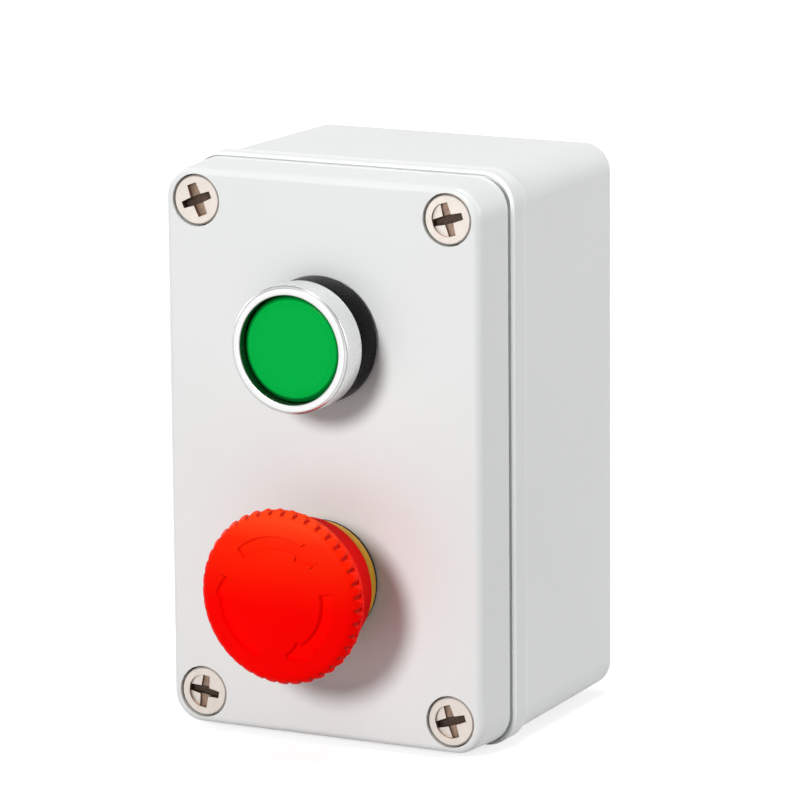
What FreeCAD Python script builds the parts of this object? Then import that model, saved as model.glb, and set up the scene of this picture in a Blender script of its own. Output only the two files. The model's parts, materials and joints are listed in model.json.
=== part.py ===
import FreeCAD, Part
import math
import os
import Sketcher
from types import SimpleNamespace

# Emergency stop button box: a two-part plastic enclosure for a wall, with a green start button and a red
# mushroom stop button in its cover, and a contact block behind each button.
#
# Every piece is drawn in one frame: x to the right, y up, z away from the wall. place() then stands the
# drawing up, so that the finished part has +Z up, faces -Y and has its rear face in the plane y = 0.
# Pieces of a button are drawn about its axis, with z = 0 on the cover's front face.

SIZES = {
    # Enclosure
    "box_width": 81.4,
    "box_height": 131.4,
    "box_depth": 70.0,
    "corner_radius": 7.7,
    "least_radius": 0.6,
    "cover_step": 0.8,
    "cover_draft": 2.6,
    "cover_corner_radius": 7.5,
    "front_edge_radius": 1.7,
    "rear_edge_radius": 2.0,
    "cover_depth": 13.3,
    "cover_wall": 3.0,
    "cover_skirt": 2.2,
    "ledge_width": 2.7,
    "seam_gap": 1.2,
    "seam_clearance": 0.3,
    "rim_depth": 6.4,
    "rim_step": 0.8,
    "rim_edge_radius": 0.5,
    "rim_lip": 0.7,
    "groove_depth": 0.9,
    "wall_taper": 0.8,
    "side_wall": 4.2,
    "rear_wall": 3.0,
    "tongue_height": 7.0,
    "gasket_height": 2.0,
    "gasket_clearance": 0.15,
    # Cover screws and what they hold
    "screw_inset_x": 9.2,
    "screw_inset_y": 8.7,
    "screw_diameter": 4.0,
    "screw_length": 14.4,
    "screw_hole_clearance": 0.3,
    "head_diameter": 11.4,
    "head_height": 2.8,
    "head_bevel": 0.4,
    "head_clearance": 0.3,
    "head_sink": 0.3,
    "cross_length": 7.6,
    "cross_arm": 1.7,
    "cross_depth": 1.5,
    "seal_section": 0.9,
    "seal_diameter": 7.2,
    "screw_pad_diameter": 14.0,
    "screw_boss_diameter": 6.8,
    "screw_boss_gap": 0.2,
    "post_diameter": 10.4,
    "post_drop": 0.5,
    "insert_diameter": 6.0,
    "insert_length": 10.0,
    "insert_groove": 0.35,
    "insert_bore_depth": 12.0,
    "thread_gap": 0.05,
    # Wall mounting holes and cable entry
    "mount_hole_diameter": 4.5,
    "mount_spacing_x": 50.0,
    "mount_spacing_y": 100.0,
    "mount_boss_diameter": 9.0,
    "mount_boss_height": 1.5,
    "entry_diameter": 20.5,
    "entry_from_wall": 26.0,
    # Both buttons
    "green_height": 28.0,
    "stop_drop": 27.0,
    "panel_hole_diameter": 22.5,
    "barrel_diameter": 22.0,
    "barrel_length": 17.0,
    "barrel_bore": 18.0,
    "panel_gasket_diameter": 27.0,
    "panel_gasket_thickness": 0.8,
    "ring_clearance": 0.3,
    "slide_clearance": 0.25,
    "rest_gap": 0.3,
    "nose_diameter": 4.8,
    "nose_length": 3.5,
    "nut_diameter": 30.0,
    "nut_height": 5.0,
    "nut_notch": 3.0,
    "nut_notch_count": 8,
    "carrier_width": 24.0,
    "carrier_plate": 2.9,
    "carrier_ring_wall": 2.0,
    "carrier_ring_height": 6.0,
    "carrier_corner": 2.0,
    "carrier_hole": 12.0,
    "wire_size": 0.8,
    # Green button
    "green_travel": 4.0,
    "collar_diameter": 28.4,
    "collar_height": 7.8,
    "collar_floor": 3.0,
    "collar_bore": 25.6,
    "neck_wall": 0.7,
    "neck_height": 3.7,
    "guide_floor": 3.0,
    "bezel_height": 15.6,
    "bezel_opening": 24.6,
    "bezel_outer_radius": 0.9,
    "bezel_inner_radius": 0.4,
    "lens_height": 14.3,
    "lens_diameter": 23.9,
    "lens_face_diameter": 22.1,
    "lens_shoulder": 1.2,
    "lens_flange": 1.6,
    "lens_wall": 1.3,
    "lens_top": 1.5,
    "insert_disc": 1.0,
    "plate_thickness": 1.6,
    "tube_wall": 1.75,
    "tube_end": 8.0,
    "stem_diameter": 8.0,
    "spring_pocket_top": 4.0,
    "green_spring_turns": 6,
    # Stop button
    "stop_travel": 4.0,
    "ring_diameter": 27.2,
    "ring_height": 2.2,
    "ring_bevel": 0.6,
    "flange_diameter": 26.8,
    "flange_height": 3.2,
    "guide_length": 8.0,
    "rod_diameter": 10.0,
    "rod_shoulder": 4.2,
    "rod_top": 8.0,
    "socket_depth": 8.0,
    "spindle_diameter": 6.0,
    "spindle_collar": 9.2,
    "spindle_top": 19.5,
    "latch_height": 2.0,
    "hub_diameter": 12.0,
    "hub_gap": 0.4,
    "neck_diameter": 31.2,
    "neck_skirt": 0.9,
    "neck_bottom": 6.6,
    "neck_web_bottom": 14.0,
    "cap_bottom": 16.8,
    "cap_diameter": 40.0,
    "cap_foot_diameter": 37.2,
    "cap_foot_height": 1.2,
    "cap_rim_height": 5.0,
    "cap_top": 24.5,
    "cap_shoulder_radius": 3.2,
    "grip_lip": 0.5,
    "grip_depth": 1.0,
    "grip_lobe_radius": 1.75,
    "grip_count": 40,
    "stop_spring_turns": 3,
    # Contact blocks
    "block_width": 12.0,
    "block_core": 25.0,
    "block_depth": 26.0,
    "block_lid": 1.4,
    "block_wall": 1.5,
    "block_front": 3.0,
    "block_rear": 2.0,
    "shoulder_depth": 16.0,
    "pusher_width": 6.0,
    "pusher_height": 4.8,
    "pusher_head": 1.7,
    "pusher_length": 16.2,
    "pusher_clearance": 0.3,
    "pin_diameter": 2.4,
    "pin_length": 3.0,
    "strip_thickness": 0.8,
    "strip_width": 4.6,
    "strip_leg": 9.1,
    "strip_arm_depth": 7.6,
    "tip_inner": 5.1,
    "tip_outer": 7.5,
    "tip_height": 0.5,
    "bridge_width": 3.4,
    "bridge_play": 0.1,
    "terminal_length": 4.5,
    "terminal_clearance": 0.15,
    "terminal_screw": 2.8,
    "terminal_head_height": 1.6,
    "terminal_slot": 0.7,
    "terminal_depth": 6.0,
    "clamp_thickness": 0.5,
    "block_spring_diameter": 4.4,
    "block_wire_size": 0.5,
    "block_spring_turns": 4,
}

# How each cover screw was left turned, in degrees: bottom left, top left, bottom right, top right.
SCREW_TURNS = (-8.0, 22.0, 18.0, 16.0)
# How the mushroom cap's grip stands at rest, in degrees.
GRIP_TURN = -3.0

Vector = FreeCAD.Vector
doc = FreeCAD.newDocument("EmergencyStopBox")
nodes = []


class Size:
    """A length that follows the sheet: its expression and its value now."""

    def __init__(self, text, value):
        self.text = text
        self.value = value

    def __add__(self, other):
        other = as_size(other)
        return Size(f"({self.text} + {other.text})", self.value + other.value)

    def __sub__(self, other):
        other = as_size(other)
        return Size(f"({self.text} - {other.text})", self.value - other.value)

    def __mul__(self, factor):
        return Size(f"({self.text} * {factor:.9f})", self.value * factor)

    def __truediv__(self, divisor):
        divisor = as_size(divisor)
        return Size(f"({self.text} / {divisor.text})", self.value / divisor.value)

    def __neg__(self):
        return self * -1.0


def as_size(item):
    """A plain number as a Size."""
    return item if isinstance(item, Size) else Size(f"({item})", float(item))


def larger(first, second):
    return Size(f"max({first.text}; {second.text})", max(first.value, second.value))


def write_sheet():
    """Puts the driving dimensions in a sheet and returns each of them as a Size."""
    sheet = doc.addObject("Spreadsheet::Sheet", "Sizes")
    for row, (name, value) in enumerate(SIZES.items(), start=1):
        sheet.set(f"A{row}", name)
        sheet.set(f"B{row}", str(value))
        sheet.setAlias(f"B{row}", name)
    doc.recompute()
    return SimpleNamespace(**{name: Size(f"Sizes.{name}", float(sheet.get(name))) for name in SIZES})


size = write_sheet()


# Drawing helpers


def bind(thing, name, length):
    thing.setExpression(name, as_size(length).text)


def place(thing, y=0, z=0, x=0, turn=0):
    """Stands a drawn piece up with its drawing origin at x, y, z, turned about its own z axis."""
    spots = (as_size(x), -as_size(z), as_size(y))
    upright = FreeCAD.Rotation(Vector(1, 0, 0), 90) * FreeCAD.Rotation(Vector(0, 0, 1), turn)
    thing.Placement = FreeCAD.Placement(Vector(*(spot.value for spot in spots)), upright)
    for axis, spot in zip("xyz", spots):
        bind(thing, f"Placement.Base.{axis}", spot)
    return thing


def new_body(label):
    body = doc.addObject("PartDesign::Body", label)
    body.Label = label
    return body


def keep(thing):
    """Marks a finished piece for export."""
    nodes.append(thing)
    return thing


def origin_item(body, role):
    return next(item for item in body.Origin.OriginFeatures if item.Role == role)


def sketch_on(body, role, lift=0):
    """A sketch on one of the body's own planes, lifted along that plane's normal."""
    sketch = body.newObject("Sketcher::SketchObject", f"{body.Name}_sketch")
    sketch.AttachmentSupport = [(origin_item(body, role), "")]
    sketch.MapMode = "FlatFace"
    sketch.AttachmentOffset = FreeCAD.Placement(Vector(0, 0, as_size(lift).value), FreeCAD.Rotation())
    bind(sketch, "AttachmentOffset.Base.z", lift)
    return sketch


def dimension(sketch, kind, *entries):
    """Adds a dimension whose last entry is a Size, and ties it to the sheet."""
    length = as_size(entries[-1])
    row = sketch.addConstraint(Sketcher.Constraint(kind, *entries[:-1], length.value))
    bind(sketch, f"Constraints[{row}]", length)


def pin(sketch, curve, point, x, y):
    dimension(sketch, "DistanceX", -1, 1, curve, point, x)
    dimension(sketch, "DistanceY", -1, 1, curve, point, y)


def dome_arc(start, end):
    """The arc from start up to end on the vertical axis, with its centre on that axis."""
    rise = end.y - start.y
    centre = Vector(0, (end.y**2 - start.y**2 - start.x**2) / (2 * rise), 0)
    circle = Part.Circle(centre, Vector(0, 0, 1), end.y - centre.y)
    return Part.ArcOfCircle(circle, math.atan2(start.y - centre.y, start.x), math.pi / 2)


def lobe_arc(start, end, radius):
    """The short arc from start to end, with its centre nearer the vertical axis."""
    middle = (start + end) * 0.5
    half = (end - start) * 0.5
    aside = Vector(half.y, -half.x, 0).normalize()
    inward = aside if aside.x < 0 else -aside
    centre = middle + inward * math.sqrt(radius**2 - half.Length**2)
    crown = centre - inward * radius
    return Part.Arc(start, crown, end)


def draw_outline(sketch, points, dome=None, lobes=None):
    """A closed outline through points.

    The stretch after point number dome is an arc about the axis, and lobes gives the radius of other arcs.
    """
    first = sketch.GeometryCount
    lobes = lobes or {}
    corners = [Vector(as_size(x).value, as_size(y).value, 0) for x, y in points]
    for index, start in enumerate(corners):
        end = corners[(index + 1) % len(corners)]
        if index == dome:
            curve = dome_arc(start, end)
        elif index in lobes:
            curve = lobe_arc(start, end, lobes[index].value)
        else:
            curve = Part.LineSegment(start, end)
        sketch.addGeometry(curve, False)
    for index, (x, y) in enumerate(points):
        following = first + (index + 1) % len(points)
        sketch.addConstraint(Sketcher.Constraint("Coincident", first + index, 2, following, 1))
        pin(sketch, first + index, 1, x, y)
    if dome is not None:
        sketch.addConstraint(Sketcher.Constraint("PointOnObject", first + dome, 3, -2))
    for index, radius in lobes.items():
        dimension(sketch, "Radius", first + index, radius)


def draw_rectangle(sketch, left, bottom, right, top):
    draw_outline(sketch, [(left, bottom), (right, bottom), (right, top), (left, top)])


def draw_circles(sketch, centres, diameter):
    for x, y in centres:
        spot = Vector(as_size(x).value, as_size(y).value, 0)
        curve = sketch.addGeometry(Part.Circle(spot, Vector(0, 0, 1), diameter.value / 2), False)
        pin(sketch, curve, 3, x, y)
        dimension(sketch, "Diameter", curve, diameter)


def draw_rounded(sketch, width, height, radius):
    """A rectangle with round corners about the sketch's origin: a side, then its corner, four times."""
    first = sketch.GeometryCount
    across = width / 2 - radius
    along = height / 2 - radius
    corners = [(across, -along), (across, along), (-across, along), (-across, -along)]
    outward = [Vector(0, -1, 0), Vector(1, 0, 0), Vector(0, 1, 0), Vector(-1, 0, 0)]
    for quarter, (x, y) in enumerate(corners):
        before = corners[quarter - 1]
        shift = outward[quarter] * radius.value
        start = Vector(before[0].value, before[1].value, 0) + shift
        centre = Vector(x.value, y.value, 0)
        sketch.addGeometry(Part.LineSegment(start, centre + shift), False)
        circle = Part.Circle(centre, Vector(0, 0, 1), radius.value)
        angle = math.radians(90 * quarter - 90)
        sketch.addGeometry(Part.ArcOfCircle(circle, angle, angle + math.pi / 2), False)
    for quarter, (x, y) in enumerate(corners):
        side = first + 2 * quarter
        corner = side + 1
        following = first + (2 * quarter + 2) % 8
        sketch.addConstraint(Sketcher.Constraint("Tangent", side, 2, corner, 1))
        sketch.addConstraint(Sketcher.Constraint("Tangent", corner, 2, following, 1))
        pin(sketch, corner, 3, x, y)
        dimension(sketch, "Radius", corner, radius)


def add_feature(body, kind, sketch):
    feature = body.newObject(f"PartDesign::{kind}", f"{body.Name}_{kind.lower()}")
    feature.Profile = sketch
    return feature


def pad(body, sketch, length):
    feature = add_feature(body, "Pad", sketch)
    bind(feature, "Length", length)
    return feature


def pocket(body, sketch, depth):
    """Cuts from the sketch against its plane's normal."""
    feature = add_feature(body, "Pocket", sketch)
    bind(feature, "Length", depth)
    return feature


def turned(label, outline, dome=None):
    """A piece turned about its own z axis from an outline of (radius, height) points."""
    body = new_body(label)
    sketch = sketch_on(body, "XZ_Plane")
    draw_outline(sketch, outline, dome)
    turn(body, sketch)
    return body


def turn(body, sketch):
    feature = add_feature(body, "Revolution", sketch)
    feature.ReferenceAxis = (sketch, ["V_Axis"])
    feature.Angle = 360


def ring_outline(inner, outer, bottom, top):
    return [(inner, bottom), (outer, bottom), (outer, top), (inner, top)]


def repeat_around(body, feature, count):
    """Repeats a feature evenly around the body's own z axis."""
    pattern = body.newObject("PartDesign::PolarPattern", f"{body.Name}_pattern")
    pattern.Originals = [feature]
    pattern.Axis = (origin_item(body, "Z_Axis"), [""])
    pattern.Angle = 360
    bind(pattern, "Occurrences", count)
    body.Tip = pattern


def edges_at(height):
    return lambda edge: all(abs(vertex.Z - height.value) < 1e-4 for vertex in edge.Vertexes)


def round_edges(body, radius, chosen):
    doc.recompute()
    base = body.Tip
    names = [f"Edge{row}" for row, edge in enumerate(base.Shape.Edges, start=1) if chosen(edge)]
    fillet = body.newObject("PartDesign::Fillet", f"{body.Name}_round")
    fillet.Base = (base, names)
    bind(fillet, "Radius", radius)


def group(label, master, spots):
    """Several alike solids as one node; spots are keyword sets for place()."""
    links = []
    for spot in spots:
        link = doc.addObject("App::Link", f"{label}_{len(links) + 1}")
        link.LinkedObject = master
        links.append(place(link, **spot))
    compound = doc.addObject("Part::Compound", label)
    compound.Label = label
    compound.Links = links
    return keep(compound)


def coil(label, diameter, wire, bottom, top, turns, **spot):
    """A compression spring of square wire between two seats."""
    helix = doc.addObject("Part::Helix", f"{label}_path")
    reach = top - bottom - wire
    bind(helix, "Radius", diameter / 2)
    bind(helix, "Height", reach)
    helix.setExpression("Pitch", f"{reach.text} / {turns.text}")
    section = doc.addObject("Part::RegularPolygon", f"{label}_wire")
    section.Polygon = 4
    bind(section, "Circumradius", wire * (1 / math.sqrt(2)))
    square_up = FreeCAD.Rotation(Vector(1, 0, 0), 90) * FreeCAD.Rotation(Vector(0, 0, 1), 45)
    section.Placement = FreeCAD.Placement(Vector(diameter.value / 2, 0, 0), square_up)
    bind(section, "Placement.Base.x", diameter / 2)
    spring = doc.addObject("Part::Sweep", label)
    spring.Label = label
    spring.Sections = [section]
    spring.Spine = (helix, ["Edge1"])
    spring.Solid = True
    spring.Frenet = True
    lift = bottom + wire / 2
    spot["z"] = as_size(spot["z"]) + lift
    return keep(place(spring, **spot))


# Heights in the enclosure, from the wall

seam = size.box_depth - size.cover_depth
rim_top = seam - size.seam_gap
rim_bottom = rim_top - size.rim_depth
groove_floor = rim_top - size.groove_depth
tongue_top = rim_top + size.tongue_height
gasket_top = tongue_top + size.gasket_height
panel_inside = size.box_depth - size.cover_wall
post_top = tongue_top - size.post_drop
head_top = size.box_depth - size.head_sink
head_bottom = head_top - size.head_height
counterbore_floor = head_bottom - size.seal_section

cover_inside = size.cover_step + size.cover_skirt
tongue_inset = cover_inside + size.seam_clearance
cavity_inset = size.rim_step + size.side_wall

screw_x = size.box_width / 2 - size.screw_inset_x
screw_y = size.box_height / 2 - size.screw_inset_y
screw_spots = [(-screw_x, -screw_y), (-screw_x, screw_y), (screw_x, -screw_y), (screw_x, screw_y)]
screw_clearance = size.screw_hole_clearance * 2
mount_x = size.mount_spacing_x / 2
mount_y = size.mount_spacing_y / 2
mount_spots = [(-mount_x, -mount_y), (-mount_x, mount_y), (mount_x, -mount_y), (mount_x, mount_y)]
button_heights = {"green": size.green_height, "stop": -size.stop_drop}


def draw_inset(sketch, inset, corner=None):
    """The enclosure's outline, moved inward, with corners that follow it unless their radius is given."""
    inset = as_size(inset)
    radius = corner or larger(size.corner_radius - inset, size.least_radius)
    draw_rounded(sketch, size.box_width - inset * 2, size.box_height - inset * 2, radius)


def inset_block(body, inset, bottom, top, corner=None):
    sketch = sketch_on(body, "XY_Plane", bottom)
    draw_inset(sketch, inset, corner)
    return pad(body, sketch, top - bottom)


def inset_cut(body, inset, bottom, top):
    sketch = sketch_on(body, "XY_Plane", top)
    draw_inset(sketch, inset)
    return pocket(body, sketch, top - bottom)


def round_blocks(body, spots, diameter, bottom, top):
    sketch = sketch_on(body, "XY_Plane", bottom)
    draw_circles(sketch, spots, diameter)
    return pad(body, sketch, top - bottom)


def round_cuts(body, spots, diameter, bottom, top):
    sketch = sketch_on(body, "XY_Plane", top)
    draw_circles(sketch, spots, diameter)
    return pocket(body, sketch, top - bottom)


def build_rear_box():
    body = new_body("rear_box")
    wall_sketch = sketch_on(body, "XY_Plane", rim_bottom)
    draw_inset(wall_sketch, size.rim_step)
    wall = pad(body, wall_sketch, rim_bottom)
    wall.Reversed = True
    bind(wall, "TaperAngle", -size.wall_taper)
    round_edges(body, size.rear_edge_radius, edges_at(as_size(0)))
    inset_block(body, 0, rim_bottom, rim_top)
    round_edges(body, size.rim_edge_radius, on_rim)
    inset_cut(body, size.rim_lip, groove_floor, rim_top)
    inset_block(body, tongue_inset, groove_floor, tongue_top)
    inset_cut(body, cavity_inset, size.rear_wall, tongue_top)
    round_blocks(body, screw_spots, size.post_diameter, size.rear_wall, post_top)
    round_cuts(body, screw_spots, size.insert_diameter, post_top - size.insert_bore_depth, post_top)
    boss_top = size.rear_wall + size.mount_boss_height
    round_blocks(body, mount_spots, size.mount_boss_diameter, size.rear_wall, boss_top)
    round_cuts(body, mount_spots, size.mount_hole_diameter, as_size(0), boss_top)
    entry = sketch_on(body, "XZ_Plane", as_size(0))
    draw_circles(entry, [(0, size.entry_from_wall)], size.entry_diameter)
    cable_cut = pocket(body, entry, size.box_height / 2)
    cable_cut.Reversed = True
    return keep(place(body))


def on_rim(edge):
    """Whether an edge lies on either end of the rim, and not on the stepped-in wall."""
    if not (edges_at(rim_bottom)(edge) or edges_at(rim_top)(edge)):
        return False
    reach = edge.BoundBox
    on_side = max(abs(reach.XMin), abs(reach.XMax)) > (size.box_width / 2 - size.rim_step / 2).value
    on_end = max(abs(reach.YMin), abs(reach.YMax)) > (size.box_height / 2 - size.rim_step / 2).value
    return on_side or on_end


def build_front_cover():
    body = new_body("front_cover")
    block = inset_block(body, size.cover_step, seam, size.box_depth, size.cover_corner_radius)
    bind(block, "TaperAngle", -size.cover_draft)
    round_edges(body, size.front_edge_radius, edges_at(size.box_depth))
    inset_cut(body, cover_inside, seam, gasket_top)
    inset_cut(body, cover_inside + size.ledge_width, gasket_top, panel_inside)
    round_blocks(body, screw_spots, size.screw_pad_diameter, gasket_top, panel_inside)
    boss_bottom = post_top + size.screw_boss_gap
    round_blocks(body, screw_spots, size.screw_boss_diameter, boss_bottom, gasket_top)
    counterbore = size.head_diameter + size.head_clearance * 2
    round_cuts(body, screw_spots, counterbore, counterbore_floor, size.box_depth)
    round_cuts(body, screw_spots, size.screw_diameter + screw_clearance, seam, size.box_depth)
    panel_spots = [(0, height) for height in button_heights.values()]
    round_cuts(body, panel_spots, size.panel_hole_diameter, seam, size.box_depth)
    return keep(place(body))


def build_cover_gasket():
    body = new_body("cover_gasket")
    sketch = sketch_on(body, "XY_Plane", tongue_top)
    draw_inset(sketch, tongue_inset + size.gasket_clearance)
    draw_inset(sketch, cavity_inset - size.gasket_clearance)
    pad(body, sketch, size.gasket_height)
    return keep(place(body))


def cross_outline(length, arm):
    """The twelve corners of an upright cross."""
    far = length / 2
    near = arm / 2
    quarter = [(far, -near), (far, near), (near, near)]
    outline = []
    for turn_count in range(4):
        outline.extend(quarter)
        quarter = [(-y, x) for x, y in quarter]
    return outline


def build_cover_screws():
    shank = size.screw_diameter / 2
    head = size.head_diameter / 2
    shank_end = head_bottom - size.screw_length
    master = turned(
        "cover_screw",
        [
            (0, shank_end),
            (shank, shank_end),
            (shank, head_bottom),
            (head, head_bottom),
            (head, head_top - size.head_bevel),
            (head - size.head_bevel, head_top),
            (0, head_top),
        ],
    )
    recess = sketch_on(master, "XY_Plane", head_top)
    draw_outline(recess, cross_outline(size.cross_length, size.cross_arm))
    pocket(master, recess, size.cross_depth)
    spots = [{"x": x, "y": y, "turn": turn} for (x, y), turn in zip(screw_spots, SCREW_TURNS)]
    return group("cover_screws", master, spots)


def build_screw_seals():
    master = new_body("screw_seal")
    sketch = sketch_on(master, "XZ_Plane")
    middle = counterbore_floor + size.seal_section / 2
    draw_circles(sketch, [(size.seal_diameter / 2, middle)], size.seal_section)
    turn(master, sketch)
    return group("screw_seals", master, [{"x": x, "y": y} for x, y in screw_spots])


def build_brass_inserts():
    outer = size.insert_diameter / 2 - size.thread_gap
    inner = size.screw_diameter / 2 + size.thread_gap
    waist = outer - size.insert_groove
    top = post_top
    bottom = top - size.insert_length
    waist_bottom = bottom + size.insert_length * 0.4
    waist_top = bottom + size.insert_length * 0.6
    master = turned(
        "brass_insert",
        [
            (inner, bottom),
            (outer, bottom),
            (outer, waist_bottom - size.insert_groove),
            (waist, waist_bottom),
            (waist, waist_top),
            (outer, waist_top + size.insert_groove),
            (outer, top),
            (inner, top),
        ],
    )
    return group("brass_inserts", master, [{"x": x, "y": y} for x, y in screw_spots])


# Radii and heights shared by both buttons, from the cover's front face

barrel = size.barrel_diameter / 2
barrel_end = -size.barrel_length
bore = size.barrel_bore / 2
panel_gasket_top = size.panel_gasket_thickness
ring_inner = barrel + size.ring_clearance
nose = size.nose_diameter / 2
carrier_front = barrel_end
carrier_rear = carrier_front - size.carrier_plate
pusher_top = carrier_rear + size.pusher_head
nose_end = pusher_top + size.rest_gap
nose_root = nose_end + size.nose_length
block_core = size.block_core / 2
block_reach = block_core + size.terminal_length


def on_axis(button):
    """Where place() puts the pieces of one button."""
    return {"y": button_heights[button], "z": size.box_depth}


def build_panel_gasket(button):
    outer = size.panel_gasket_diameter / 2
    body = turned(f"{button}_panel_gasket", ring_outline(ring_inner, outer, 0, panel_gasket_top))
    return keep(place(body, **on_axis(button)))


def build_lock_nut(button):
    top = -size.cover_wall
    bottom = top - size.nut_height
    outer = size.nut_diameter / 2
    body = turned(f"{button}_lock_nut", ring_outline(barrel + size.thread_gap, outer, bottom, top))
    notch = round_cuts(body, [(outer, 0)], size.nut_notch, bottom, top)
    repeat_around(body, notch, size.nut_notch_count)
    return keep(place(body, **on_axis(button)))


def build_contact_carrier(button):
    body = new_body(f"{button}_contact_carrier")
    plate = sketch_on(body, "XY_Plane", carrier_rear)
    draw_rounded(plate, size.carrier_width, block_reach * 2, size.carrier_corner)
    draw_circles(plate, [(0, 0)], size.carrier_hole)
    pad(body, plate, size.carrier_plate)
    inner = size.barrel_diameter + size.ring_clearance * 2
    ring = sketch_on(body, "XY_Plane", carrier_front)
    draw_circles(ring, [(0, 0)], inner)
    draw_circles(ring, [(0, 0)], inner + size.carrier_ring_wall * 2)
    pad(body, ring, size.carrier_ring_height)
    return keep(place(body, **on_axis(button)))


def build_green_button():
    spot = on_axis("green")
    collar = size.collar_diameter / 2
    chamber = size.collar_bore / 2
    neck = chamber + size.neck_wall
    neck_top = size.collar_height + size.neck_height
    stem = size.stem_diameter / 2
    guide = stem + size.slide_clearance
    guide_top = barrel_end + size.guide_floor
    collar_body = turned(
        "green_collar",
        [
            (guide, barrel_end),
            (barrel, barrel_end),
            (barrel, panel_gasket_top),
            (collar, panel_gasket_top),
            (collar, size.collar_height),
            (neck, size.collar_height),
            (neck, neck_top),
            (chamber, neck_top),
            (chamber, size.collar_floor),
            (bore, size.collar_floor),
            (bore, guide_top),
            (guide, guide_top),
        ],
    )
    keep(place(collar_body, **spot))

    opening = size.bezel_opening / 2
    bezel = turned(
        "green_bezel",
        [
            (neck + size.thread_gap, size.collar_height),
            (collar, size.collar_height),
            (collar, size.bezel_height),
            (opening, size.bezel_height),
            (opening, neck_top),
            (neck + size.thread_gap, neck_top),
        ],
    )
    round_edges(bezel, size.bezel_outer_radius, circle_at(collar, size.bezel_height))
    round_edges(bezel, size.bezel_inner_radius, circle_at(opening, size.bezel_height))
    keep(place(bezel, **spot))

    lens = size.lens_diameter / 2
    flange = chamber - size.slide_clearance
    flange_top = neck_top - size.rest_gap
    flange_bottom = flange_top - size.lens_flange
    cup = lens - size.lens_wall
    cup_top = size.lens_height - size.lens_top
    lens_body = turned(
        "green_lens",
        [
            (0, cup_top),
            (cup, cup_top),
            (cup, flange_bottom),
            (flange, flange_bottom),
            (flange, flange_top),
            (lens, flange_top),
            (lens, size.lens_height - size.lens_shoulder),
            (size.lens_face_diameter / 2, size.lens_height),
            (0, size.lens_height),
        ],
    )
    keep(place(lens_body, **spot))

    disc_top = cup_top - size.thread_gap
    disc_bottom = disc_top - size.insert_disc
    disc = cup - size.slide_clearance
    insert = turned("lens_insert", [(0, disc_bottom), (disc, disc_bottom), (disc, disc_top), (0, disc_top)])
    keep(place(insert, **spot))

    tube = bore - size.slide_clearance
    spring_pocket = tube - size.tube_wall
    plate_bottom = flange_bottom - size.plate_thickness
    plunger = turned(
        "green_plunger",
        [
            (0, nose_end),
            (nose, nose_end),
            (nose, nose_root),
            (stem, nose_root),
            (stem, size.spring_pocket_top),
            (spring_pocket, size.spring_pocket_top),
            (spring_pocket, -size.tube_end),
            (tube, -size.tube_end),
            (tube, plate_bottom),
            (flange, plate_bottom),
            (flange, flange_bottom),
            (disc, flange_bottom),
            (disc, disc_bottom),
            (0, disc_bottom),
        ],
    )
    keep(place(plunger, **spot))

    spring_diameter = stem + spring_pocket
    coil(
        "green_return_spring",
        spring_diameter,
        size.wire_size,
        guide_top,
        size.spring_pocket_top,
        size.green_spring_turns,
        **spot,
    )


def circle_at(radius, height):
    """Picks the circular edge with this radius at this height."""

    def matches(edge):
        if edge.Degenerated or not isinstance(edge.Curve, Part.Circle):
            return False
        curve = edge.Curve
        near_height = abs(curve.Center.z - height.value) < 1e-4
        return near_height and abs(curve.Radius - radius.value) < 1e-4

    return matches


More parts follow.
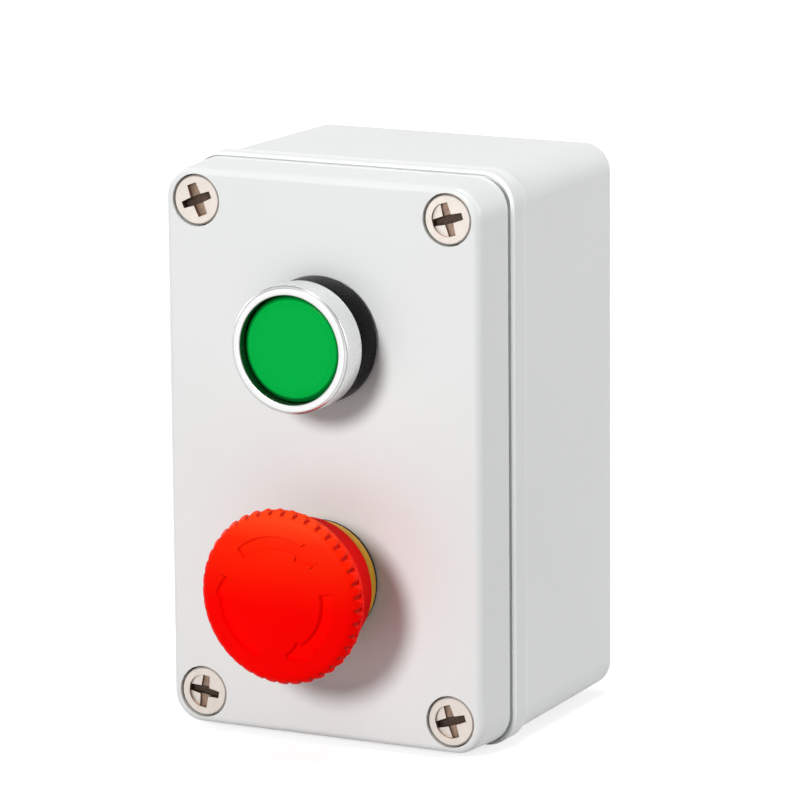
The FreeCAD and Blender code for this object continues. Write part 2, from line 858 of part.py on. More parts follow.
def build_stop_button():
    spot = on_axis("stop")
    ring = size.ring_diameter / 2
    ring_top = panel_gasket_top + size.ring_height
    yellow_ring = turned(
        "yellow_ring",
        [
            (ring_inner, panel_gasket_top),
            (ring, panel_gasket_top),
            (ring, ring_top - size.ring_bevel),
            (ring - size.ring_bevel, ring_top),
            (ring_inner, ring_top),
        ],
    )
    keep(place(yellow_ring, **spot))

    rod = size.rod_diameter / 2
    rod_guide = rod + size.slide_clearance
    chamber_floor = barrel_end + size.guide_length
    flange_top = ring_top + size.flange_height
    barrel_body = turned(
        "stop_barrel",
        [
            (rod_guide, barrel_end),
            (barrel, barrel_end),
            (barrel, ring_top),
            (size.flange_diameter / 2, ring_top),
            (size.flange_diameter / 2, flange_top),
            (bore, flange_top),
            (bore, chamber_floor),
            (rod_guide, chamber_floor),
        ],
    )
    keep(place(barrel_body, **spot))

    latch_top = ring_top + size.latch_height
    ring_fit = bore - size.thread_gap
    latch = turned("latch_collar", ring_outline(rod_guide, ring_fit, ring_top, latch_top))
    keep(place(latch, **spot))
    seal = turned("rod_seal", ring_outline(rod_guide, ring_fit, latch_top, flange_top))
    keep(place(seal, **spot))

    shoulder_top = ring_top - size.rest_gap
    shoulder_bottom = shoulder_top - size.rod_shoulder
    shoulder = bore - size.slide_clearance
    spindle = size.spindle_diameter / 2
    socket = spindle + size.slide_clearance
    socket_bottom = size.rod_top - size.socket_depth
    push_rod = turned(
        "push_rod",
        [
            (0, nose_end),
            (nose, nose_end),
            (nose, nose_root),
            (rod, nose_root),
            (rod, shoulder_bottom),
            (shoulder, shoulder_bottom),
            (shoulder, shoulder_top),
            (rod, shoulder_top),
            (rod, size.rod_top),
            (socket, size.rod_top),
            (socket, socket_bottom),
            (0, socket_bottom),
        ],
    )
    keep(place(push_rod, **spot))

    collar_bottom = size.rod_top + size.rest_gap
    hub_bottom = flange_top + size.stop_travel + size.hub_gap
    spindle_body = turned(
        "twist_spindle",
        [
            (0, socket_bottom + size.rest_gap),
            (spindle, socket_bottom + size.rest_gap),
            (spindle, collar_bottom),
            (size.spindle_collar / 2, collar_bottom),
            (size.spindle_collar / 2, hub_bottom),
            (spindle, hub_bottom),
            (spindle, size.spindle_top),
            (0, size.spindle_top),
        ],
    )
    keep(place(spindle_body, **spot))

    hub_bore = spindle + size.thread_gap
    neck = size.neck_diameter / 2
    neck_body = turned(
        "mushroom_neck",
        [
            (hub_bore, hub_bottom),
            (size.hub_diameter / 2, hub_bottom),
            (size.hub_diameter / 2, size.neck_web_bottom),
            (neck - size.neck_skirt, size.neck_web_bottom),
            (neck - size.neck_skirt, size.neck_bottom),
            (neck, size.neck_bottom),
            (neck, size.cap_bottom),
            (hub_bore, size.cap_bottom),
        ],
    )
    keep(place(neck_body, **spot))

    build_mushroom_cap(hub_bore, spot)
    coil(
        "stop_return_spring",
        rod + bore,
        size.wire_size,
        chamber_floor,
        shoulder_bottom,
        size.stop_spring_turns,
        **spot,
    )


def draw_grip_notch(sketch, rim):
    """The notch between two rounded lobes of the grip, open past the rim."""
    lobe = size.grip_lobe_radius
    valley = (rim - size.grip_depth, 0)
    mouth = rim + size.thread_gap
    reach = rim * (0.85 * math.pi) / size.grip_count
    draw_outline(sketch, [valley, (mouth, reach), (mouth, -reach)], lobes={0: lobe, 2: lobe})


def build_mushroom_cap(hub_bore, spot):
    rim = size.cap_diameter / 2
    rim_foot = size.cap_bottom + size.cap_foot_height
    rim_edge = size.cap_bottom + size.cap_rim_height
    socket_top = size.spindle_top + size.rest_gap
    body = turned(
        "mushroom_cap",
        [
            (0, socket_top),
            (hub_bore, socket_top),
            (hub_bore, size.cap_bottom),
            (size.cap_foot_diameter / 2, size.cap_bottom),
            (rim, rim_foot),
            (rim, rim_edge),
            (0, size.cap_top),
        ],
        dome=5,
    )
    round_edges(body, size.cap_shoulder_radius, circle_at(rim, rim_edge))
    notch = sketch_on(body, "XY_Plane", size.cap_top)
    draw_grip_notch(notch, rim)
    cut = pocket(body, notch, size.cap_top - rim_foot - size.grip_lip)
    repeat_around(body, cut, size.grip_count)
    return keep(place(body, turn=GRIP_TURN, **spot))


# Contact blocks

block_front = carrier_rear
block_end = block_front - size.block_depth
cavity_front = block_front - size.block_front
cavity_rear = block_end + size.block_rear
shoulder_face = block_front - size.shoulder_depth
strip_rear = shoulder_face - size.strip_thickness
pusher_end = pusher_top - size.pusher_length
lid_face = size.block_width / 2 - size.block_lid
terminal_spot = block_core + size.terminal_length / 2
half_clamp = size.terminal_length / 2 - size.terminal_clearance
strip_reach = terminal_spot + half_clamp


def extruded(label, outline, start, end):
    """A piece with this outline of (y, z) points, from one x to another."""
    body = new_body(label)
    sketch = sketch_on(body, "YZ_Plane", start)
    draw_outline(sketch, outline)
    pad(body, sketch, end - start)
    return body


def mirrored_pair(label, master, button):
    """Two alike pieces, at the top and at the bottom of a contact block."""
    spots = [dict(on_axis(button), turn=half_turn) for half_turn in (0, 180)]
    return group(label, master, spots)


def build_housing(block, button):
    body = extruded(
        f"{block}_housing",
        [
            (-block_reach, block_front),
            (-block_reach, shoulder_face),
            (-block_core, shoulder_face),
            (-block_core, block_end),
            (block_core, block_end),
            (block_core, shoulder_face),
            (block_reach, shoulder_face),
            (block_reach, block_front),
        ],
        -size.block_width / 2,
        lid_face,
    )
    cavity = block_core - size.block_wall
    slot_rear = strip_rear - size.bridge_play
    hollow = sketch_on(body, "YZ_Plane", lid_face)
    draw_outline(
        hollow,
        [
            (-cavity, cavity_front),
            (-cavity, shoulder_face),
            (-block_core, shoulder_face),
            (-block_core, slot_rear),
            (-cavity, slot_rear),
            (-cavity, cavity_rear),
            (cavity, cavity_rear),
            (cavity, slot_rear),
            (block_core, slot_rear),
            (block_core, shoulder_face),
            (cavity, shoulder_face),
            (cavity, cavity_front),
        ],
    )
    pocket(body, hollow, size.block_width - size.block_lid - size.block_wall)
    window_x = size.pusher_width / 2 + size.pusher_clearance
    window_y = size.pusher_height / 2 + size.pusher_clearance
    window = sketch_on(body, "XY_Plane", block_front)
    draw_rectangle(window, -window_x, -window_y, window_x, window_y)
    pocket(body, window, size.block_front)
    screw_holes = [(0, -terminal_spot), (0, terminal_spot)]
    hole = size.terminal_screw + size.thread_gap * 2
    round_cuts(body, screw_holes, hole, shoulder_face, shoulder_face + size.terminal_depth)
    keep(place(body, **on_axis(button)))

    lid = extruded(
        f"{block}_lid",
        ring_outline(-block_core, block_core, block_end, block_front),
        lid_face,
        size.block_width / 2,
    )
    keep(place(lid, **on_axis(button)))


def open_contact_shapes(travel):
    """Fixed contact and bridge of a pair that the button closes: the bridge waits in front."""
    tip_face = shoulder_face + size.tip_height
    fixed = [
        (size.tip_inner, strip_rear),
        (strip_reach, strip_rear),
        (strip_reach, shoulder_face),
        (size.tip_outer, shoulder_face),
        (size.tip_outer, tip_face),
        (size.tip_inner, tip_face),
    ]
    bridge_tip = tip_face + travel + size.rest_gap
    bridge_rear = bridge_tip + size.tip_height
    bridge_front = bridge_rear + size.strip_thickness
    bridge = [
        (-size.tip_outer, bridge_tip),
        (-size.tip_inner, bridge_tip),
        (-size.tip_inner, bridge_rear),
        (size.tip_inner, bridge_rear),
        (size.tip_inner, bridge_tip),
        (size.tip_outer, bridge_tip),
        (size.tip_outer, bridge_front),
        (-size.tip_outer, bridge_front),
    ]
    return fixed, bridge, bridge_rear, bridge_front


def closed_contact_shapes():
    """Fixed contact and bridge of a pair that the button opens: the bridge rests behind its contacts."""
    arm_front = block_front - size.strip_arm_depth
    arm_rear = arm_front - size.strip_thickness
    tip_face = arm_rear - size.tip_height
    leg_outer = size.strip_leg + size.strip_thickness
    fixed = [
        (size.strip_leg, strip_rear),
        (strip_reach, strip_rear),
        (strip_reach, shoulder_face),
        (leg_outer, shoulder_face),
        (leg_outer, arm_front),
        (size.tip_inner, arm_front),
        (size.tip_inner, tip_face),
        (size.tip_outer, tip_face),
        (size.tip_outer, arm_rear),
        (size.strip_leg, arm_rear),
    ]
    bridge_tip = tip_face - size.bridge_play
    bridge_front = bridge_tip - size.tip_height
    bridge_rear = bridge_front - size.strip_thickness
    bridge = [
        (-size.tip_outer, bridge_rear),
        (size.tip_outer, bridge_rear),
        (size.tip_outer, bridge_tip),
        (size.tip_inner, bridge_tip),
        (size.tip_inner, bridge_front),
        (-size.tip_inner, bridge_front),
        (-size.tip_inner, bridge_tip),
        (-size.tip_outer, bridge_tip),
    ]
    return fixed, bridge, bridge_rear, bridge_front


def build_pusher(block, button, bridge_rear, bridge_front):
    """The sliding piece that the button pushes, with a window that carries the bridge."""
    half_x = size.pusher_width / 2
    half_y = size.pusher_height / 2
    body = new_body(f"{block}_pusher")
    sketch = sketch_on(body, "XY_Plane", pusher_end)
    draw_rectangle(sketch, -half_x, -half_y, half_x, half_y)
    pad(body, sketch, size.pusher_length)
    pin_end = pusher_end - size.pin_length
    round_blocks(body, [(0, 0)], size.pin_diameter, pin_end, pusher_end)
    window_x = size.bridge_width / 2 + size.bridge_play
    window = sketch_on(body, "XZ_Plane", half_y)
    window_rear = bridge_rear - size.bridge_play
    draw_rectangle(window, -window_x, window_rear, window_x, bridge_front + size.bridge_play)
    pocket(body, window, size.pusher_height)
    keep(place(body, **on_axis(button)))


def build_terminals(block, button, fixed_outline):
    half_strip = size.strip_width / 2
    strip = extruded(f"{block}_contact", fixed_outline, -half_strip, half_strip)
    screw_spot = [(0, terminal_spot)]
    hole = size.terminal_screw + size.thread_gap * 2
    round_cuts(strip, screw_spot, hole, strip_rear, shoulder_face)
    mirrored_pair(f"{block}_contacts", strip, button)

    clamp_rear = strip_rear - size.clamp_thickness
    clamp = new_body(f"{block}_clamp")
    sketch = sketch_on(clamp, "XY_Plane", clamp_rear)
    draw_rectangle(sketch, -half_clamp, terminal_spot - half_clamp, half_clamp, strip_reach)
    draw_circles(sketch, screw_spot, hole)
    pad(clamp, sketch, size.clamp_thickness)
    mirrored_pair(f"{block}_clamps", clamp, button)

    shank = size.terminal_screw / 2
    head_rear = clamp_rear - size.terminal_head_height
    shank_end = shoulder_face + size.terminal_depth - size.rest_gap
    screw = turned(
        f"{block}_screw",
        [
            (0, head_rear),
            (half_clamp, head_rear),
            (half_clamp, clamp_rear),
            (shank, clamp_rear),
            (shank, shank_end),
            (0, shank_end),
        ],
    )
    slot = sketch_on(screw, "XY_Plane", head_rear + size.terminal_slot)
    half_slot = size.terminal_slot / 2
    draw_rectangle(slot, -half_clamp, -half_slot, half_clamp, half_slot)
    pocket(screw, slot, size.terminal_slot)
    height = button_heights[button]
    spots = [{"y": height + offset, "z": size.box_depth} for offset in (terminal_spot, -terminal_spot)]
    group(f"{block}_screws", screw, spots)


def build_contact_block(block, button, shapes):
    fixed_outline, bridge_outline, bridge_rear, bridge_front = shapes
    build_housing(block, button)
    half_bridge = size.bridge_width / 2
    bridge = extruded(f"{block}_bridge", bridge_outline, -half_bridge, half_bridge)
    keep(place(bridge, **on_axis(button)))
    build_pusher(block, button, bridge_rear, bridge_front)
    build_terminals(block, button, fixed_outline)
    coil(
        f"{block}_spring",
        size.block_spring_diameter,
        size.block_wire_size,
        cavity_rear,
        pusher_end,
        size.block_spring_turns,
        **on_axis(button),
    )


def build_all():
    build_rear_box()
    build_front_cover()
    build_cover_gasket()
    build_cover_screws()
    build_screw_seals()
    build_brass_inserts()
    for button in button_heights:
        build_panel_gasket(button)
        build_lock_nut(button)
        build_contact_carrier(button)
    build_green_button()
    build_stop_button()
    build_contact_block("start_block", "green", open_contact_shapes(size.green_travel))
    build_contact_block("stop_block", "stop", closed_contact_shapes())


def export_nodes():
    """Checks every object of the document, then writes each piece to its own file."""
    doc.recompute()
    for thing in doc.Objects:
        if "Invalid" in thing.State or "Error" in thing.State:
            raise RuntimeError(f"{thing.Label} did not build: {thing.State}")
    os.makedirs("parts", exist_ok=True)
    for node in nodes:
        if node.Shape.isNull() or not node.Shape.isValid():
            raise RuntimeError(f"{node.Label} has no valid shape")
        node.Shape.exportStep(f"parts/{node.Label}.step")


build_all()
export_nodes()
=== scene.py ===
import json
import math

import bmesh
import bpy
from mathutils import Matrix, Vector


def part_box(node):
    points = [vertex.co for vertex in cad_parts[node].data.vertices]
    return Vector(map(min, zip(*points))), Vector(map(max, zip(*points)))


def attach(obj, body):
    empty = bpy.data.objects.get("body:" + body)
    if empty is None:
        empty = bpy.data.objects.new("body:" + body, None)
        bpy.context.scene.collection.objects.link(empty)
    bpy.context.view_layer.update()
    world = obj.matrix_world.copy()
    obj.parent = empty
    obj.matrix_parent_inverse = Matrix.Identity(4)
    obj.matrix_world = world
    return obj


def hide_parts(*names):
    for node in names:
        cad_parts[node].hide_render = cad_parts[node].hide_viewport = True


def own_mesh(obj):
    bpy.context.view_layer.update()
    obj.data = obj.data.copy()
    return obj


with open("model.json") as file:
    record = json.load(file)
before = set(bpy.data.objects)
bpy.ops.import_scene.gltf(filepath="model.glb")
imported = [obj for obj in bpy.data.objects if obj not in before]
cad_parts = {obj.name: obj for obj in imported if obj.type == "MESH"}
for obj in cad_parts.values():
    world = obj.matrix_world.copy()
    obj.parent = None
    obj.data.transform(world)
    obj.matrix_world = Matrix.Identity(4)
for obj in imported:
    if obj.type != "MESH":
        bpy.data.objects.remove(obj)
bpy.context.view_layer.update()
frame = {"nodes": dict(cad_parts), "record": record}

MM = 0.001

# The panel that the buttons stand on, and their axes.
PANEL_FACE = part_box("front_cover")[0][1]
FLOOR_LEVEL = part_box("rear_box")[0][2]


def axis_height(node):
    low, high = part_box(node)
    return (low[2] + high[2]) / 2


GREEN_AXIS = axis_height("green_bezel")
STOP_AXIS = axis_height("yellow_ring")
BARREL_END = (PANEL_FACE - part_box("green_collar")[1][1]) / MM


# Finishes


def paint(red, green, blue):
    """A colour as a camera shows it, from 0 to 255, for a shader."""

    def linear(level):
        level /= 255
        return level / 12.92 if level <= 0.04045 else ((level + 0.055) / 1.055) ** 2.4

    return (linear(red), linear(green), linear(blue), 1)


# The colour sockets of a Mix node: two inputs and the output.
MIX_FIRST, MIX_SECOND, MIX_RESULT = 6, 7, 2
# The part of a noise pattern's range that nearly all of it lies in.
NOISE_LOW, NOISE_HIGH = 0.3, 0.7
GRAIN_DEPTH = 0.04 * MM
TOOL_LINE_DEPTH = 0.02 * MM
DRAWN_LINE_DEPTH = 0.03 * MM


class Finish:
    """A material with a Principled shader and a short way to add nodes to it."""

    def __init__(self, name, colour, roughness, **sockets):
        self.material = bpy.data.materials.new(name)
        self.material.use_nodes = True
        self.tree = self.material.node_tree
        self.shader = self.tree.nodes["Principled BSDF"]
        self.shader.inputs["Base Color"].default_value = colour
        self.shader.inputs["Roughness"].default_value = roughness
        for socket, value in sockets.items():
            self.shader.inputs[socket.replace("_", " ")].default_value = value
        self.colour = colour
        self.roughness = roughness

    def node(self, kind, inputs=None, **settings):
        """Adds a node; inputs holds values, or (node, output name) pairs to join."""
        made = self.tree.nodes.new(f"ShaderNode{kind}")
        for name, value in settings.items():
            setattr(made, name, value)
        for name, value in (inputs or {}).items():
            self.join(value, made.inputs[name])
        return made

    def join(self, value, socket):
        if isinstance(value, tuple) and isinstance(value[0], bpy.types.Node):
            self.tree.links.new(value[0].outputs[value[1]], socket)
        else:
            socket.default_value = value

    def place(self, stretch=(1, 1, 1)):
        """Object coordinates, stretched for a pattern."""
        spot = self.node("TexCoord")
        return self.node("Mapping", {"Vector": (spot, "Object"), "Scale": stretch})

    def noise(self, scale, detail=3.0, place=None):
        place = place or self.place()
        return self.node("TexNoise", {"Vector": (place, "Vector"), "Scale": scale, "Detail": detail})

    def reach(self, value, low, high, start=0.0, end=1.0):
        """Takes the range of a value from low to high to the range from start to end."""
        limits = {"From Min": low, "From Max": high, "To Min": start, "To Max": end}
        return self.node("MapRange", {"Value": value, **limits}), "Result"

    def ramp(self, pattern, low, high):
        """Takes a noise pattern to the range from low to high."""
        return self.reach((pattern, "Fac"), NOISE_LOW, NOISE_HIGH, low, high)

    def calc(self, operation, *values):
        """The result of one sum, to be joined."""
        return self.node("Math", dict(enumerate(values)), operation=operation), "Value"

    def axes(self, output="Object"):
        """Coordinates along x, y and z, or a normal's parts."""
        return self.node("SeparateXYZ", {"Vector": (self.node("TexCoord"), output)})

    def mix(self, factor, first, second, **settings):
        """Two colours mixed, to be joined."""
        mixed = self.node("Mix", {"Factor": factor}, data_type="RGBA", **settings)
        self.join(first, mixed.inputs[MIX_FIRST])
        self.join(second, mixed.inputs[MIX_SECOND])
        return mixed, MIX_RESULT

    def recolour(self, source):
        """Takes a new source for the colour, which later patterns build on."""
        self.colour = source
        self.join(source, self.shader.inputs["Base Color"])
        return self

    def cloud_colour(self, scale, darker):
        """Slow drift in the colour, down to darker times its level."""
        shade = self.ramp(self.noise(scale), darker, 1.0)
        return self.recolour(self.mix(1, self.colour, shade, blend_type="MULTIPLY"))

    def cloud_gloss(self, scale, spread):
        """Slow drift in the roughness about its own level."""
        level = self.ramp(self.noise(scale), self.roughness - spread, self.roughness + spread)
        self.join(level, self.shader.inputs["Roughness"])
        return self

    def tones(self, value, stops):
        """Colours along a value, from (value, colour) stops in rising order."""
        low, high = stops[0][0], stops[-1][0]
        tone = self.node("ValToRGB", {"Fac": self.reach(value, low, high)})
        steps = tone.color_ramp.elements
        steps[0].color = stops[0][1]
        steps[1].color = stops[-1][1]
        for spot, colour in stops[1:-1]:
            steps.new((spot - low) / (high - low)).color = colour
        return tone, "Color"

    def relief(self, pattern, strength, depth):
        """Raises the surface by a pattern, in metres."""
        bump = self.node("Bump", {"Height": pattern, "Strength": strength, "Distance": depth})
        self.join((bump, "Normal"), self.shader.inputs["Normal"])
        return self

    def grain(self, scale, strength):
        return self.relief((self.noise(scale, 2.0), "Fac"), strength, GRAIN_DEPTH)


# Painted light and shade along the depth of the enclosure, as (millimetres in front of the wall, level). On
# its sides the seam and the rear edge of the rim are painted paler, as painted light and a painted highlight,
# with a line of painted shade behind the rim; on its top the edges on both sides of the seam get painted
# highlights too, with painted shade behind the rim.
SIDE_PAINTED_LIGHT_AND_SHADE = (
    (60.0, 229), (56.9, 229), (56.7, 254), (55.0, 254), (54.7, 229), (49.8, 229), (49.6, 246), (49.1, 246),
    (49.0, 216), (48.2, 229), (48.0, 229),
)
TOP_PAINTED_LIGHT_AND_SHADE = (
    (60.0, 229), (59.0, 229), (58.2, 240), (54.6, 240), (54.0, 230), (53.4, 230), (52.5, 240), (49.2, 240),
    (49.0, 221), (48.0, 229),
)
# The upward part of a face's normal, from where it still counts as a side to where it counts as a top.
UPWARD = (0.5, 0.9)


def moulded_grey():
    """Grey plastic with painted highlights on the edges of the rim and the seam, and painted shade behind the
    rim.
    """
    finish = Finish("moulded_grey", paint(228, 230, 229), 0.42)
    depth = (finish.axes(), "Y")
    upward = finish.reach((finish.axes("Normal"), "Z"), *UPWARD)
    side, top = (
        finish.tones(depth, [(-ahead * MM, paint(level - 1, level + 1, level)) for ahead, level in painted_stops])
        for painted_stops in (SIDE_PAINTED_LIGHT_AND_SHADE, TOP_PAINTED_LIGHT_AND_SHADE)
    )
    # Tops take their painted highlights and sides their painted light and shade.
    finish.recolour(finish.mix(upward, side, top))
    return finish.cloud_colour(22, 0.975).cloud_gloss(300, 0.05).grain(2600, 0.12).material


# Where shade is painted in the notches of the grip, and its darker red: from none to full, by the wave that
# is one in the middle of a notch, by the distance from the axis and by the distance in front of the grip's
# lip, both in millimetres.
PAINTED_SHADE_WAVE = (0.35, 0.9)
PAINTED_SHADE_RADIUS = (18.6, 19.1)
PAINTED_SHADE_OVER_LIP = (0.1, 0.5)
PAINTED_SHADE_RED = (190, 12, 4)

# A painted orange sheen: green and blue in the cap's red, rising with the height over its middle in
# millimetres, as a highlight painted on the upper half.
CAP_RED = 252
CAP_PAINTED_SHEEN = ((-2.0, 0, 0), (3.5, 15, 1), (8.0, 29, 4), (13.0, 38, 9), (17.5, 64, 25), (20.0, 68, 25))


def notch_painted_shade(finish):
    """One along the notches of the cap's grip, where shade is painted, and nothing elsewhere."""
    spot = finish.axes()
    up = finish.calc("SUBTRACT", (spot, "Z"), STOP_AXIS)
    turn = finish.calc("ARCTAN2", up, (spot, "X"))
    phase = finish.calc("MULTIPLY_ADD", turn, GRIP_LOBES, -math.radians(GRIP_VALLEY * GRIP_LOBES))
    valley = finish.reach(finish.calc("COSINE", phase), *PAINTED_SHADE_WAVE)
    radius = radius_about(finish, 0, STOP_AXIS)
    band = finish.reach(radius, *(reach * MM for reach in PAINTED_SHADE_RADIUS))
    lip = PANEL_FACE - GRIP_START * MM
    over = finish.reach((spot, "Y"), *(lip - ahead * MM for ahead in PAINTED_SHADE_OVER_LIP))
    return finish.calc("MULTIPLY", finish.calc("MULTIPLY", valley, band), over)


def red_cap_plastic():
    """Red plastic with a painted orange sheen on its upper half and painted shade in the notches of the grip.
    """
    painted_sheen = [(STOP_AXIS + above * MM, paint(CAP_RED, *rest)) for above, *rest in CAP_PAINTED_SHEEN]
    finish = Finish(
        "red_cap_plastic", painted_sheen[0][1], 0.4, Specular_IOR_Level=0.03, Specular_Tint=(1, 0.9, 0.35, 1)
    )
    finish.recolour(finish.tones((finish.axes(), "Z"), painted_sheen))
    finish.cloud_colour(60, 0.95).cloud_gloss(500, 0.05).grain(3200, 0.08)
    # Painted shade in the notches of the grip.
    return finish.recolour(finish.mix(notch_painted_shade(finish), finish.colour, paint(*PAINTED_SHADE_RED))).material


def red_neck_plastic():
    finish = Finish("red_neck_plastic", paint(255, 9, 6), 0.5, Specular_IOR_Level=0.02)
    return finish.cloud_colour(80, 0.93).grain(3200, 0.1).material


def yellow_ring_plastic():
    finish = Finish("yellow_ring_plastic", paint(255, 194, 44), 0.4, Specular_IOR_Level=0.4)
    return finish.cloud_colour(120, 0.94).cloud_gloss(500, 0.04).grain(3000, 0.08).material


def black_collar_plastic():
    finish = Finish("black_collar_plastic", paint(7, 7, 7), 0.28, Specular_IOR_Level=0.035)
    return finish.cloud_colour(150, 0.8).cloud_gloss(600, 0.05).grain(4200, 0.1).material


def white_insert_plastic():
    finish = Finish("white_insert_plastic", paint(232, 231, 224), 0.5)
    return finish.cloud_colour(140, 0.95).grain(3500, 0.1).material


def block_plastic():
    finish = Finish("block_plastic", paint(58, 61, 66), 0.5)
    return finish.cloud_colour(130, 0.85).cloud_gloss(500, 0.06).grain(3600, 0.2).material


def black_rubber():
    finish = Finish("black_rubber", paint(34, 34, 35), 0.78)
    return finish.cloud_colour(200, 0.75).grain(5200, 0.35).material


def metal(name, colour, roughness, lines):
    """Rolled metal with fine lines along one side."""
    finish = Finish(name, colour, roughness, Metallic=1)
    drawn = finish.noise(900, 4.0, finish.place(stretch=lines))
    finish.cloud_colour(260, 0.9).relief((drawn, "Fac"), 0.12, DRAWN_LINE_DEPTH)
    streak = finish.ramp(drawn, roughness - 0.06, roughness + 0.08)
    finish.join(streak, finish.shader.inputs["Roughness"])
    return finish.material


def spring_steel():
    return metal("spring_steel", paint(196, 197, 200), 0.3, (1, 6, 1))


def contact_brass():
    return metal("contact_brass", paint(222, 190, 118), 0.32, (4, 1, 1))


def radius_about(finish, x, z, mirrored=False):
    """Distance from an axis along y, for patterns that go round it.

    Where it is mirrored, the axis stands in each of the four corners.
    """
    spot = (finish.node("TexCoord"), "Object")
    if mirrored:
        spot = (finish.node("VectorMath", {0: spot}, operation="ABSOLUTE"), "Vector")
    moved = finish.node("VectorMath", {0: spot, 1: (x, 0, z)}, operation="SUBTRACT")
    flat = finish.node("VectorMath", {0: (moved, "Vector"), 1: (1, 0, 1)}, operation="MULTIPLY")
    return finish.node("VectorMath", {0: (flat, "Vector")}, operation="LENGTH"), "Value"


def turned_lines(finish, radius, scale, strength):
    """Fine tool lines that go round a turned piece, on its faces and on its sides."""
    run = finish.calc("ADD", radius, (finish.axes(), "Y"))
    lines = finish.node("TexNoise", {"W": run, "Scale": scale, "Detail": 3.0}, noise_dimensions="1D")
    return finish.relief((lines, "Fac"), strength, TOOL_LINE_DEPTH)


# Painted reflections and shade on the bezel, from its bore to its side, by the distance from the axis in
# millimetres.
BEZEL_PAINTED_REFLECTIONS = (
    (12.2, (136, 140, 138)), (12.361, (138, 138, 138)), (12.591, (212, 212, 212)), (13.81, (214, 214, 214)),
    (13.8905, (130, 130, 130)), (13.971, (206, 206, 206)), (14.27, (208, 208, 208)),
    (14.408, (110, 110, 110)), (14.4839, (230, 230, 230)), (14.5, (233, 234, 234)),
)


def bezel_metal():
    """Turned metal with painted reflections and shade: a dark bore, a bright front ring, a grey edge and a
    pale side.
    """
    painted_stops = [(reach * MM, paint(*colour)) for reach, colour in BEZEL_PAINTED_REFLECTIONS]
    finish = Finish("bezel_metal", painted_stops[-1][1], 0.28, Metallic=1)
    radius = radius_about(finish, 0, GREEN_AXIS)
    finish.recolour(finish.tones(radius, painted_stops))
    return turned_lines(finish.cloud_gloss(160, 0.03), radius, 5000, 0.02).material


def screw_nickel():
    finish = Finish("screw_nickel", paint(199, 191, 184), 0.42, Metallic=1)
    finish.cloud_colour(420, 0.93).cloud_gloss(900, 0.06)
    radius = radius_about(finish, SCREW_SPOT_X * MM, SCREW_SPOT_Z * MM, mirrored=True)
    return turned_lines(finish, radius, 6000, 0.2).material


# Painted shade on the walls of the pockets and on the arms of the cross.
def screw_recess_painted_shade():
    finish = Finish("screw_recess_painted_shade", paint(144, 122, 107), 0.45, Metallic=1)
    return finish.cloud_colour(900, 0.7).grain(5000, 0.3).material


# Darker painted shade in the deep slot of the cross.
def screw_slot_painted_shade():
    finish = Finish("screw_slot_painted_shade", paint(78, 65, 57), 0.5, Metallic=1)
    return finish.cloud_colour(900, 0.6).grain(5000, 0.3).material


LENS_COLOUR = (0, 176, 68)
# The darker green of the painted shade on the lens's edge.
LENS_PAINTED_SHADE_COLOUR = (0, 116, 42)
# Where shade is painted on the lens's edge, by the distance from its axis in millimetres.
LENS_PAINTED_SHADE_REACH = (10.8, 11.4)


def lens_green():
    """Green plastic with painted shade on its edge."""
    finish = Finish("lens_green", paint(*LENS_COLOUR), 0.14, Specular_IOR_Level=0.03)
    radius = radius_about(finish, 0, GREEN_AXIS)
    colours = paint(*LENS_COLOUR), paint(*LENS_PAINTED_SHADE_COLOUR)
    stops = [(reach * MM, colour) for reach, colour in zip(LENS_PAINTED_SHADE_REACH, colours)]
    finish.recolour(finish.tones(radius, stops))
    return finish.cloud_gloss(300, 0.03).grain(900, 0.03).material


# Meshes


def new_piece(name, shape, finishes, body, nodes, sharp=35):
    """Puts a finished shape in the scene as the piece that stands for some CAD nodes."""
    mesh = bpy.data.meshes.new(name)
    shape.to_mesh(mesh)
    shape.free()
    for finish in finishes:
        mesh.materials.append(finish)
    mesh.shade_smooth()
    mesh.set_sharp_from_angle(angle=math.radians(sharp))
    piece = bpy.data.objects.new(name, mesh)
    bpy.context.scene.collection.objects.link(piece)
    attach(piece, body)
    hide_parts(*nodes)
    return piece


def on_axis(radius, height, axis):
    """A point beside a button's axis, from millimetres off the axis and over the panel."""
    return Vector((radius * MM, PANEL_FACE - height * MM, axis))


# Points nearer than this become one, in metres, and nearer than this to an axis lie on it, in millimetres.
MERGE_DISTANCE = 1e-7
ON_AXIS = 1e-6


def closed_up(shape):
    bmesh.ops.remove_doubles(shape, verts=shape.verts[:], dist=MERGE_DISTANCE)
    bmesh.ops.recalc_face_normals(shape, faces=shape.faces[:])
    return shape


COLUMNS = 192
FINE_COLUMNS = 256
ROUNDING_STEPS = 5


def turned(outline, axis, columns=COLUMNS):
    """A solid turned about a button's axis from (radius, height, corner rounding) in millimetres."""
    shape = bmesh.new()
    corners = [shape.verts.new(on_axis(radius, height, axis)) for radius, height, _ in outline]
    for row, corner in enumerate(corners):
        following = (row + 1) % len(corners)
        if outline[row][0] or outline[following][0]:
            shape.edges.new((corner, corners[following]))
    for corner, (_, _, rounding) in zip(corners, outline):
        if rounding:
            bmesh.ops.bevel(
                shape, geom=[corner], offset=rounding * MM, offset_type="OFFSET", affect="VERTICES",
                segments=ROUNDING_STEPS, profile=0.5, material=-1,
            )
    bmesh.ops.spin(
        shape, geom=shape.verts[:] + shape.edges[:], cent=(0, 0, axis), axis=(0, 1, 0),
        angle=math.tau, steps=columns, use_merge=True,
    )
    return closed_up(shape)


# Green button: radii, and heights over the panel, in millimetres


